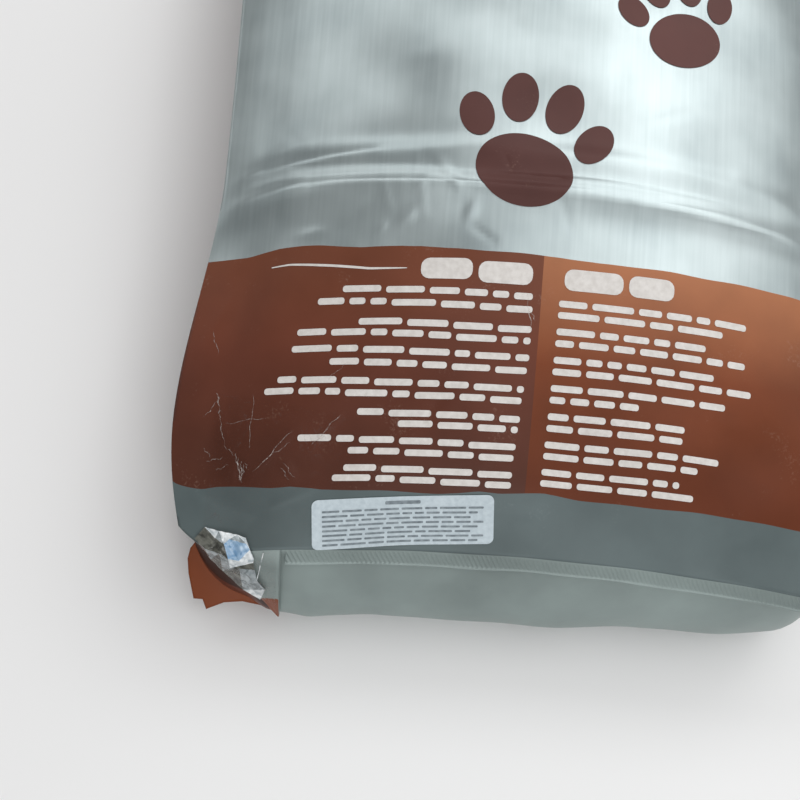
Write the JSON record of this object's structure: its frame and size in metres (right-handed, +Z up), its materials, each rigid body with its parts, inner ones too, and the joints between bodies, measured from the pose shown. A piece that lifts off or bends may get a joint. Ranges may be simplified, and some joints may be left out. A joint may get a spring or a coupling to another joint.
{
  "type": "pet food bag",
  "caption": "Filled pet food bag lying on its front panel, with a sealed base seam, a paper label and a torn corner mended with clear tape.",
  "frame": {"origin": "on the floor under the middle of the bag's bounding box", "axes": "+Y along the bag from the base to the top seal, +Z up out of the back panel, +X across"},
  "size_m": [0.246, 0.4078, 0.0875],
  "materials": {
    "film": "satin metallised film, printed",
    "label_paper": "matte",
    "clear_tape": "clear, crinkled"
  },
  "bodies": {
    "root": {"bag": "film", "label": "label_paper", "repair_tape": "clear_tape"}
  },
  "joints": []
}
